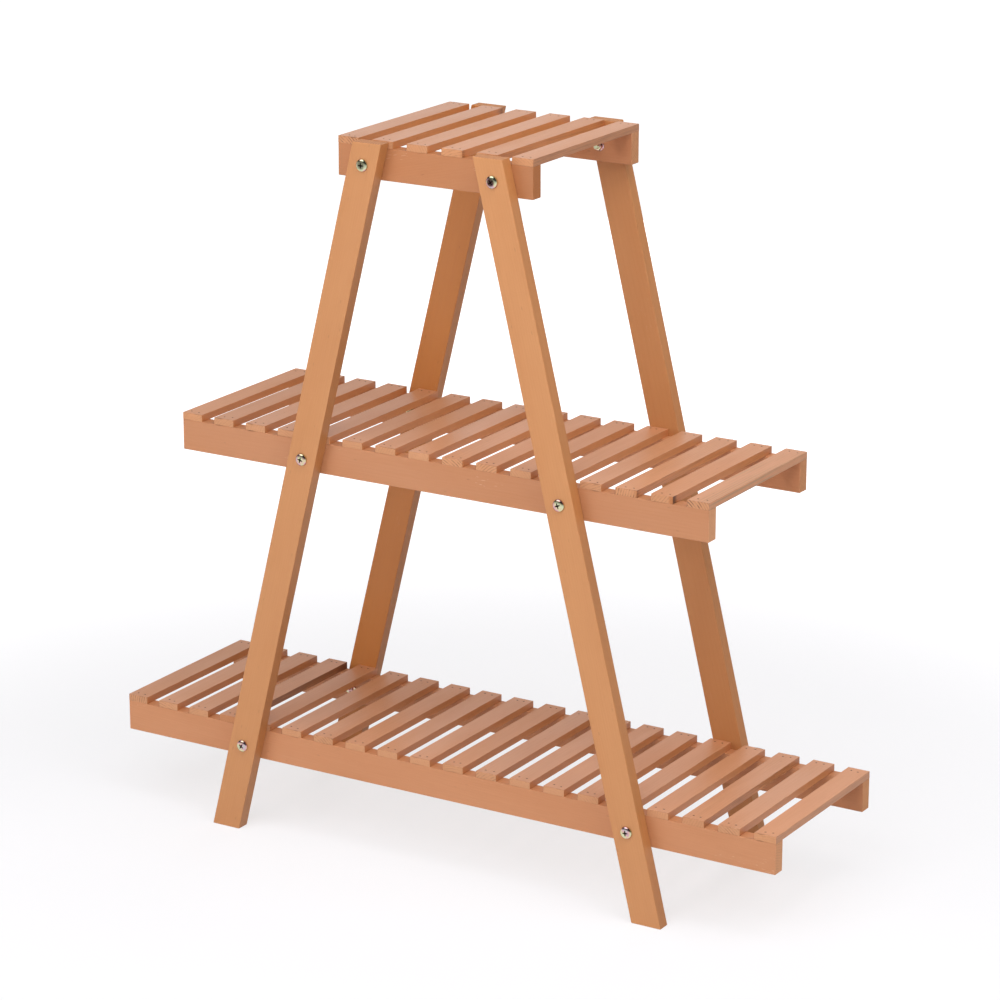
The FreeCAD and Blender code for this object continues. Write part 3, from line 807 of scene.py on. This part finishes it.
def makePlateGroup():
    # Plated steel: broad noise for the tint of the passivation, fine noise for its roughness.
    tree, given, made = newGroup(
        "plating",
        {"Place": "Vector", "dull": "Float"},
        {"Tint": "Float", "Roughness": "Float", "Height": "Float"},
    )
    broad = noiseOf(tree, stretched(tree, given["Place"], plateLook["broad"]), 2)
    fine = noiseOf(tree, stretched(tree, given["Place"], plateLook["fine"]), 2)
    feed(tree, made["Tint"], smoothStep(tree, broad, *plateLook["tintStep"]))
    feed(tree, made["Roughness"], calc(tree, "MULTIPLY_ADD", fine, plateLook["roughens"], given["dull"]))
    feed(tree, made["Height"], fine)
    return tree


plateGroup = makePlateGroup()


def metalMaterial(name, look):
    material = bpy.data.materials.new(name)
    material.use_nodes = True
    tree = material.node_tree
    shader = tree.nodes["Principled BSDF"]
    shader.inputs["Metallic"].default_value = 1.0
    place = addNode(tree, "ShaderNodeTexCoord").outputs["Object"]
    plate = placeGroup(tree, plateGroup, Place=place, dull=look["dull"])
    facing = addNode(tree, "ShaderNodeLayerWeight").outputs["Facing"]
    shifted = calc(tree, "MULTIPLY", facing, 1 - look["tintSpread"])
    shifted = calc(tree, "MULTIPLY_ADD", plate["Tint"], look["tintSpread"], shifted)
    ramp = addNode(tree, "ShaderNodeValToRGB")
    stops = ramp.color_ramp.elements
    while len(stops) < len(look["tints"]):
        stops.new(1.0)
    for stop, (position, colour) in zip(stops, look["tints"]):
        stop.position = position
        stop.color = (*colour, 1)
    feed(tree, ramp.inputs["Fac"], shifted)
    # painted shade in the recesses, and a painted dark reflection over some crowns, darker and rougher
    reader = addNode(tree, "ShaderNodeAttribute", attribute_name="hollow")
    hollow = parts(tree, reader.outputs["Vector"])[0]
    colour = mixColour(tree, hollow, ramp.outputs["Color"], plateLook["paintedDarkColour"])
    feed(tree, shader.inputs["Base Color"], colour)
    rough = calc(tree, "MULTIPLY_ADD", hollow, plateLook["darkRoughens"], plate["Roughness"])
    feed(tree, shader.inputs["Roughness"], rough)
    bump = addNode(tree, "ShaderNodeBump")
    feed(tree, bump.inputs["Height"], plate["Height"])
    bump.inputs["Strength"].default_value = plateLook["bumpStrength"]
    bump.inputs["Distance"].default_value = plateLook["bumpDepth"]
    feed(tree, shader.inputs["Normal"], bump.outputs["Normal"])
    return material


zincLook = {  # how rough, how much of the tint is by place, and the tints from first to last
    "dull": 0.07, "tintSpread": 0.75,
    "tints": (
        (0.0, (0.55, 0.60, 0.42)), (0.25, (0.68, 0.70, 0.44)), (0.42, (0.72, 0.60, 0.40)),
        (0.55, (0.72, 0.42, 0.42)), (0.7, (0.62, 0.44, 0.49)), (0.85, (0.50, 0.62, 0.55)),
        (1.0, (0.70, 0.65, 0.42)),
    ),
}
wireLook = {
    "dull": 0.4, "tintSpread": 0.35, "tints": ((0.0, (0.30, 0.24, 0.20)), (1.0, (0.42, 0.36, 0.31))),
}
zincMaterial = metalMaterial("zincPlate", zincLook)
wireMaterial = metalMaterial("bradWire", wireLook)
for shelf, middles in bradMiddles.items():
    points, faceSets = bradSolid(middles)
    buildMesh(f"{shelf}_brads", points, faceSets, wireMaterial)

boltLook = {
    "headRadius": 0.008, "headRise": 0.0038, "rim": 0.0006, "fullness": 3.2, "crownShare": 0.48,
    "recessSpan": 0.0036, "recessSlot": 0.0008, "slotAtMiddle": 1.35, "slotNarrows": 0.75,
    "recessDepth": 0.0024, "recessWall": 0.00025, "floorRise": 0.45,
    "shankRadius": 0.003, "length": 0.045, "fillet": 0.0004, "endChamfer": (0.0006, 0.0008),
    "threadPitch": 0.001, "threadDepth": 0.00045, "threadLength": 0.016,
    "around": 64, "crownRows": 26, "domeRows": 12, "threadRows": 5,
}
underHead = ((1.0, 0.00025), (0.985, 0.00006), (0.96, 0.0))  # share of the head's radius, and height
# bolts whose crowns get a painted dark reflection, and how strongly
crownDarkBolts = {("front", "top", "left"): 0.55, ("front", "top", "right"): 0.85}
crownDarkReach = (0.72, 0.22)  # a painted dark reflection on a crown ends at this share of the head's radius, and fades in over this
nutLook = {
    "across": 0.010, "height": 0.006, "flangeRadius": 0.0071, "flangeThick": 0.0011, "boreRadius": 0.00305,
    "crown": 0.96, "chamfer": math.radians(30), "boreEase": 0.0005, "around": 60,
}
boltTurn = math.radians(37)


def tubeFaces(rows, around):
    # Faces of a surface of rows round an axis, each row joined to the next, with a fan at each end.
    sheet = np.arange(rows * around).reshape(rows, around)
    wrapped = np.concatenate([sheet, sheet[:, :1]], 1)
    first, last = rows * around, rows * around + 1
    return [
        gridQuads(wrapped).reshape(-1, 4),
        np.stack([np.full(around, first), sheet[0], np.roll(sheet[0], -1)], 1),
        np.stack([np.full(around, last), np.roll(sheet[-1], -1), sheet[-1]], 1),
    ]


def boltHead(look, turn):
    # Height of the head over rings of points, and how deep each lies in the recess. It falls as the root of
    # 1 less a power of the reach, flat in the middle and round at the rim, less two crossed slots that
    # narrow outwards.
    rise, rim, crown, span = look["headRise"], look["rim"], look["crownShare"], look["recessSpan"]
    outer = crown + (1 - crown) * np.sin(np.linspace(0.08, 0.5 * np.pi, look["domeRows"]))
    share = np.concatenate([np.linspace(0.02, crown, look["crownRows"]), outer])[:, None]
    reach = share * look["headRadius"]
    dome = rim + (rise - rim) * np.sqrt(np.maximum(1 - share ** look["fullness"], 0)) + 0 * turn
    x, y = np.abs(reach * np.cos(turn)), np.abs(reach * np.sin(turn))
    arms = []
    for a, b in ((x, y), (y, x)):
        halfSlot = look["recessSlot"] * (look["slotAtMiddle"] - look["slotNarrows"] * a / span)
        arms.append(np.minimum(span - a, halfSlot - b))
    hollow = np.clip(np.maximum(*arms) / look["recessWall"], 0, 1)
    floor = 1 - look["floorRise"] * np.minimum(reach / span, 1) ** 2
    return reach + 0 * turn, dome - hollow * look["recessDepth"] * floor, hollow


def boltShape():
    # One surface from the crown of the head to the end of the shank. The thread is a wave that climbs one
    # pitch in each turn.
    look = boltLook
    turn = np.linspace(0, 2 * np.pi, look["around"], endpoint=False)[None, :]
    reach, height, hollow = boltHead(look, turn)
    under = np.array(underHead)[:, :, None] + 0 * turn[:, None]
    rows = [np.stack([reach, height], -1)]
    rows.append(np.stack([under[:, 0] * look["headRadius"], under[:, 1] + 0 * turn], -1))
    shank, pitch, fillet = look["shankRadius"], look["threadPitch"], look["fillet"]
    threaded = look["threadLength"]
    plain = np.array([(shank + fillet, 0.0), (shank, -fillet), (shank, threaded - look["length"])])
    rows.append(plain[:, None, :] + 0 * turn[..., None])
    steps = int(threaded / pitch * look["threadRows"])
    down = np.linspace(0, threaded, steps)[1:, None] + 0 * turn
    wave = 0.5 + 0.5 * np.cos(2 * np.pi * (down / pitch) - turn)
    fade = np.clip(np.minimum(down, threaded - down) / pitch, 0, 1)
    chamfer, chamferRun = look["endChamfer"]
    groove = look["threadDepth"] * wave * fade + chamfer * np.clip(1 - (threaded - down) / chamferRun, 0, 1)
    rows.append(np.stack([shank - groove, threaded - look["length"] - down], -1))
    profile = np.concatenate(rows)
    radii, heights = profile[..., 0], profile[..., 1]
    points = np.stack([radii * np.cos(turn), radii * np.sin(turn), heights], -1)
    poles = np.array([(0, 0, heights[0, 0]), (0, 0, -look["length"])])
    hollow = np.concatenate([hollow.ravel(), np.zeros(radii.size - hollow.size), (1, 0)])
    return np.concatenate([points.reshape(-1, 3), poles]), tubeFaces(len(profile), look["around"]), hollow


def nutShape():
    # A flange nut: rings of points from the seat out over the flange, up the hexagon, in over its chamfer
    # and down the bore. The hexagon's reach is its apothem over the cosine of the angle to its nearest flat.
    look = nutLook
    turn = np.linspace(0, 2 * np.pi, look["around"], endpoint=False)
    flat = look["across"] / 2
    hexagon = flat / np.cos((turn + np.pi / 6) % (np.pi / 3) - np.pi / 6)
    ring = np.ones_like(turn)
    crown, ease = flat * look["crown"], look["boreEase"]
    chamfer = (hexagon - crown) * math.tan(look["chamfer"])
    top = look["height"]
    bore, flange, thick = look["boreRadius"], look["flangeRadius"], look["flangeThick"]
    rows = [
        (bore * ring, 0 * ring), ((flange - 0.0002) * ring, 0 * ring), (flange * ring, 0.0002 * ring),
        (flange * ring, (thick - 0.0003) * ring), ((flange - 0.0003) * ring, thick * ring),
        (hexagon + 0.0003, (thick + 0.0004) * ring), (hexagon, (thick + 0.0008) * ring),
        (hexagon, top - chamfer), (crown * ring, top * ring), ((bore + ease) * ring, top * ring),
        (bore * ring, (top - ease) * ring),
    ]
    radii = np.array([row[0] for row in rows])
    heights = np.array([row[1] for row in rows])
    points = np.stack([radii * np.cos(turn), radii * np.sin(turn), heights], -1)
    sheet = np.arange(radii.size).reshape(radii.shape)
    sheet = np.concatenate([sheet, sheet[:1]])
    wrapped = np.concatenate([sheet, sheet[:, :1]], 1)
    return points.reshape(-1, 3), [gridQuads(wrapped).reshape(-1, 4)[:, ::-1]], np.zeros(radii.size)


def repeatAtCrossings(name, shape, depth, outwards, node, crownDark):
    # The shape at all twelve crossings, its own +Z out of the stand or into it, each turned on from the
    # last. Each head gets a painted dark reflection over its crown, as strong as its entry in the given
    # table.
    points, faceSets, hollow = shape
    reach = np.hypot(points[:, 0], points[:, 1]) / boltLook["headRadius"]
    crown = np.clip((crownDarkReach[0] - reach) / crownDarkReach[1], 0, 1) * (points[:, 2] > 0)
    copies = []
    hollows = []
    for faceName, face in faceSigns.items():
        for shelf in shelfNames:
            for sideName in sideSigns:
                turned = boltTurn * len(copies)
                cosine, sine = math.cos(turned), math.sin(turned)
                spin = np.array([[cosine, sine, 0], [-sine, cosine, 0], [0, 0, 1]])
                toward = face * outwards
                stand = np.array([[1, 0, 0], [0, 0, -toward], [0, toward, 0]])
                spot = boltSpot(faceName, shelf, sideName)
                spot = np.array([spot[0], face * depth, spot[2]])
                copies.append(points @ spin @ stand + spot)
                hollows.append(np.maximum(hollow, crown * crownDark.get((faceName, shelf, sideName), 0)))
    starts = np.arange(len(copies))[:, None, None] * len(points)
    allFaces = [(starts + faces).reshape(-1, faces.shape[1]) for faces in faceSets]
    piece = buildMesh(name, np.concatenate(copies), allFaces, zincMaterial, (node,))
    carry(piece, "hollow", np.concatenate(hollows)[:, None] * (1, 0, 0))


headLine = boxOf("leg_rear_left")[1][1]
nutLine = boxOf("top_rail_rear")[0][1]
repeatAtCrossings("plated_bolts", boltShape(), headLine, 1, "bolts", crownDarkBolts)
repeatAtCrossings("plated_nuts", nutShape(), nutLine, -1, "flange_nuts", {})
print("metal: brads, bolts and nuts")


def sortRays(tree):
    # 1 for rays that see the background: from the camera, off gloss or through glass.
    rays = addNode(tree, "ShaderNodeLightPath").outputs
    seen = calc(tree, "MAXIMUM", rays["Is Camera Ray"], rays["Is Glossy Ray"])
    return calc(tree, "MAXIMUM", seen, rays["Is Transmission Ray"])


worldLook = {  # strengths, and the parts of a direction between which they change
    "ambient": (0.06, 0.26), "ambientBand": (0.0, 0.9), "room": 0.06, "backdrop": (-0.1, 0.35),
    "lowBand": (0.1, 0.28), "lowLight": 0.6,
    "glintAim": (-0.35, -0.5, 0.79), "glintEdge": (0.86, 0.95), "glint": 2.6,
}
floorLook = {
    "reach": 30.0, "plain": 0.80, "seen": (0.30, 0.295, 0.315), "glow": 0.68, "fade": (0.7, 1.8),
    "aheadBand": (-0.2, 0.3), "glossShadowUnder": 0.4, "glossAhead": 0.68,
}


def makeFloor():
    reach = floorLook["reach"]
    mesh = bpy.data.meshes.new("floor")
    corners = [(-reach, -reach, 0), (reach, -reach, 0), (reach, reach, 0), (-reach, reach, 0)]
    mesh.from_pydata(corners, [], [(0, 1, 2, 3)])
    floor = bpy.data.objects.new("floor", mesh)
    bpy.context.scene.collection.objects.link(floor)
    material = bpy.data.materials.new("paleFloor")
    material.use_nodes = True
    tree = material.node_tree
    tree.nodes.clear()
    plain = addNode(tree, "ShaderNodeBsdfDiffuse")
    plain.inputs["Color"].default_value = (*[floorLook["plain"]] * 3, 1)
    seen = addNode(tree, "ShaderNodeBsdfDiffuse")
    seen.inputs["Color"].default_value = (*floorLook["seen"], 1)
    glow = addNode(tree, "ShaderNodeEmission")
    away = addNode(tree, "ShaderNodeVectorMath", operation="LENGTH")
    place = addNode(tree, "ShaderNodeTexCoord").outputs["Object"]
    feed(tree, away.inputs[0], place)
    strength = smoothStep(tree, away.outputs["Value"], *floorLook["fade"], floorLook["glow"], 1.0)
    # painted shadow: for glossy rays the floor glows less under and behind the stand than in front of it
    ahead = calc(tree, "MULTIPLY", parts(tree, place)["Y"], -1.0)
    glossFloorShade = smoothStep(tree, ahead, *floorLook["aheadBand"], floorLook["glossShadowUnder"], floorLook["glossAhead"])
    chosen = addNode(tree, "ShaderNodeMix", data_type="FLOAT")
    feed(tree, chosen.inputs[0], addNode(tree, "ShaderNodeLightPath").outputs["Is Glossy Ray"])
    feed(tree, chosen.inputs[2], strength)
    feed(tree, chosen.inputs[3], glossFloorShade)
    feed(tree, glow.inputs["Strength"], chosen.outputs[0])
    added = addNode(tree, "ShaderNodeAddShader")
    tree.links.new(seen.outputs[0], added.inputs[0])
    tree.links.new(glow.outputs[0], added.inputs[1])
    either = addNode(tree, "ShaderNodeMixShader")
    feed(tree, either.inputs[0], sortRays(tree))
    tree.links.new(plain.outputs[0], either.inputs[1])
    tree.links.new(added.outputs[0], either.inputs[2])
    output = addNode(tree, "ShaderNodeOutputMaterial")
    tree.links.new(either.outputs[0], output.inputs["Surface"])
    mesh.materials.append(material)


def makeWorld():
    # White where the background shows. Gloss sees the white backdrop behind, and in front a dark room, pale
    # low down and with one light high up on the left.
    world = bpy.data.worlds.new("studio")
    bpy.context.scene.world = world
    world.use_nodes = True
    tree = world.node_tree
    tree.nodes.clear()
    rays = addNode(tree, "ShaderNodeLightPath").outputs
    toward = addNode(tree, "ShaderNodeTexCoord").outputs["Generated"]
    direction = parts(tree, toward)
    low, room = worldLook["lowLight"], worldLook["room"]
    ahead = smoothStep(tree, direction["Z"], *worldLook["lowBand"], low, room)
    aimed = addNode(tree, "ShaderNodeVectorMath", operation="DOT_PRODUCT")
    feed(tree, aimed.inputs[0], toward)
    feed(tree, aimed.inputs[1], worldLook["glintAim"])
    glint = smoothStep(tree, aimed.outputs["Value"], *worldLook["glintEdge"], 0.0, worldLook["glint"])
    gloss = smoothStep(tree, direction["Y"], *worldLook["backdrop"], calc(tree, "ADD", ahead, glint), 1.0)
    ambient = addNode(tree, "ShaderNodeMix", data_type="FLOAT")
    feed(tree, ambient.inputs[0], rays["Is Glossy Ray"])
    ambientLight = smoothStep(tree, direction["Z"], *worldLook["ambientBand"], *worldLook["ambient"])
    feed(tree, ambient.inputs[2], ambientLight)
    feed(tree, ambient.inputs[3], gloss)
    seen = calc(tree, "MAXIMUM", rays["Is Camera Ray"], rays["Is Transmission Ray"])
    strength = calc(tree, "MAXIMUM", seen, ambient.outputs[0])
    background = addNode(tree, "ShaderNodeBackground")
    feed(tree, background.inputs["Strength"], strength)
    output = addNode(tree, "ShaderNodeOutputWorld")
    tree.links.new(background.outputs[0], output.inputs["Surface"])


lamps = {  # place, size in metres and watts
    "frontLamp": ((-1.8, -2.6, 0.8), 2.0, 33),
    "highLamp": ((0.5, -2.8, 2.0), 2.2, 32),
    "rightLamp": ((2.0, -0.4, 2.9), 2.2, 47),
    "sideLamp": ((3.4, -0.9, 1.2), 1.8, 9),
    "topLamp": ((0.2, -1.4, 2.9), 2.4, 38),
    "backLamp": ((-0.8, 3.4, 0.8), 1.8, 60),
}
lampTarget = (0, 0, 0.45)


def aim(item, place, target, roll=0.0):
    # Turns an object's -Z to the target, its +X level and then rolled.
    back = np.subtract(place, target)
    back = back / np.linalg.norm(back)
    right = np.cross((0, 0, 1), back)
    right /= np.linalg.norm(right)
    up = np.cross(back, right)
    turned = math.cos(roll) * right + math.sin(roll) * up
    upright = np.cross(back, turned)
    matrix = np.eye(4)
    matrix[:3, 0], matrix[:3, 1], matrix[:3, 2], matrix[:3, 3] = turned, upright, back, place
    item.matrix_world = Matrix(matrix.tolist())


def makeLamps():
    for name, (place, size, watts) in lamps.items():
        lamp = bpy.data.lights.new(name, "AREA")
        lamp.shape = "SQUARE"
        lamp.size = size
        lamp.energy = watts
        item = bpy.data.objects.new(name, lamp)
        bpy.context.scene.collection.objects.link(item)
        item.visible_camera = item.visible_glossy = False
        aim(item, place, lampTarget)


cameraLook = {
    "azimuth": 31.196, "elevation": 16.978, "roll": 0.122, "distance": 4.6736,
    "target": (0.01561, 0.0, 0.46051), "lens": 133.45, "sensor": 36.0,
}


def makeCamera():
    # On a ball round the target: azimuth 0 looks along +Y, and elevation is up from level.
    look = cameraLook
    azimuth, elevation = math.radians(look["azimuth"]), math.radians(look["elevation"])
    level = math.cos(elevation)
    out = np.array([math.sin(azimuth) * level, -math.cos(azimuth) * level, math.sin(elevation)])
    lens = bpy.data.cameras.new("camera")
    lens.lens = look["lens"]
    lens.sensor_width = look["sensor"]
    camera = bpy.data.objects.new("camera", lens)
    bpy.context.scene.collection.objects.link(camera)
    place = np.array(look["target"]) + look["distance"] * out
    aim(camera, place, look["target"], math.radians(look["roll"]))
    bpy.context.scene.camera = camera


makeFloor()
makeWorld()
makeLamps()
makeCamera()
bpy.context.scene.view_settings.view_transform = "Standard"
print("studio: floor, world,", len(lamps), "lamps and camera")
